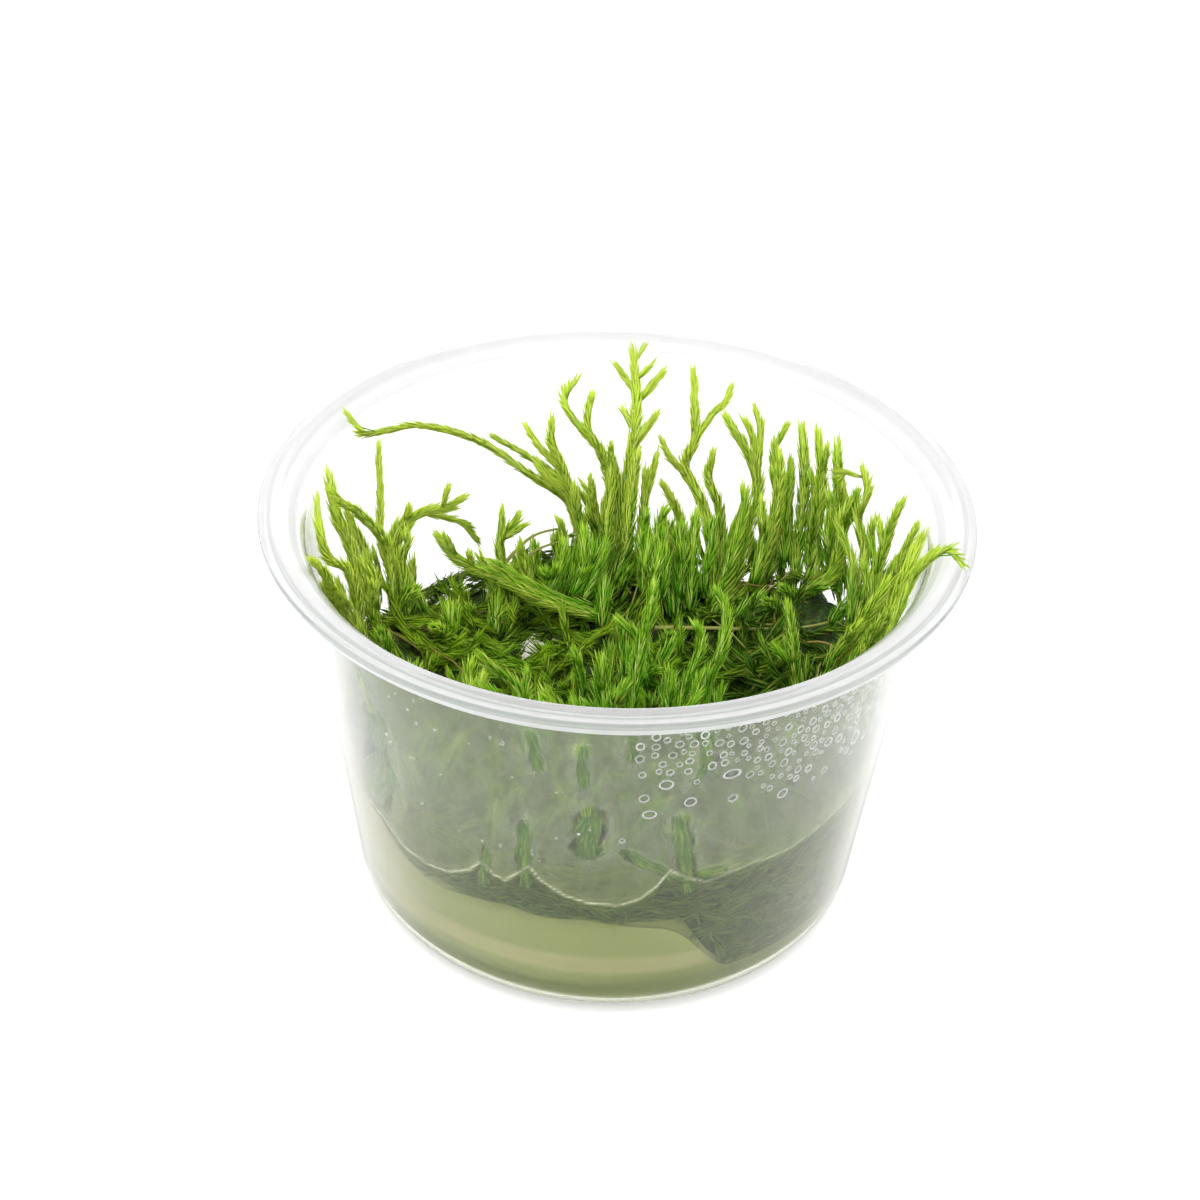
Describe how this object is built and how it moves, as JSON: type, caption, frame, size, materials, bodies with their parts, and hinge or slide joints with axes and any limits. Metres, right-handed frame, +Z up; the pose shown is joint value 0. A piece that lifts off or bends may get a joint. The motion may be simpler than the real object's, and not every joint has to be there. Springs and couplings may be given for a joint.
{
  "type": "spiky moss in an open culture cup",
  "caption": "Clump of spiky aquarium moss with upright feathery shoots, growing on nutrient gel in an open, round, milky plastic culture cup.",
  "frame": {"origin": "middle of the cup's foot, on the surface that it stands on", "axes": "+Z up out of the cup's mouth; -Y is the side with the condensation, seen from the front; +X to the right"},
  "size_m": [0.1, 0.1, 0.0675],
  "materials": {
    "milky_plastic": "satin",
    "nutrient_gel": "gloss",
    "old_moss": "matte",
    "new_moss": "satin"
  },
  "bodies": {
    "root": {"cup": "milky_plastic", "gel": "nutrient_gel", "moss_bed": "old_moss", "left_wall_frond": "new_moss", "left_low": "new_moss", "left_wall_low": "new_moss", "left_outer": "new_moss", "left_tall": "new_moss", "left_cross": "new_moss", "left_inner": "new_moss", "thin_left": "new_moss", "left_arm": "new_moss", "left_loop": "new_moss", "creeping_arm": "new_moss", "left_fan": "new_moss", "left_fan_small": "new_moss", "runner_long": "new_moss", "centre_short": "new_moss", "centre_left": "new_moss", "hooked": "new_moss", "small_pair": "new_moss", "tallest": "new_moss", "centre_thin": "new_moss", "tall_right": "new_moss", "right_short": "new_moss", "right_mid": "new_moss", "right_mid_back": "new_moss", "right_arc": "new_moss", "column_left": "new_moss", "column_mid": "new_moss", "column_right": "new_moss", "droop_right": "new_moss", "diagonal": "new_moss", "right_tall": "new_moss", "right_pair": "new_moss", "right_low": "new_moss", "right_frond": "new_moss", "over_rim": "new_moss", "front_bent": "new_moss", "front_bent_small": "new_moss", "front_right": "new_moss", "front_hook": "new_moss", "front_broad": "new_moss", "front_left": "new_moss", "front_long": "new_moss", "front_lean": "new_moss", "front_tuft": "new_moss", "clump_back": "new_moss", "clump_centre": "new_moss", "clump_right": "new_moss", "clump_far_right": "new_moss", "wall_left": "new_moss", "wall_broad": "new_moss", "wall_right": "new_moss", "front_inner": "new_moss", "hidden_right": "new_moss"}
  },
  "joints": []
}
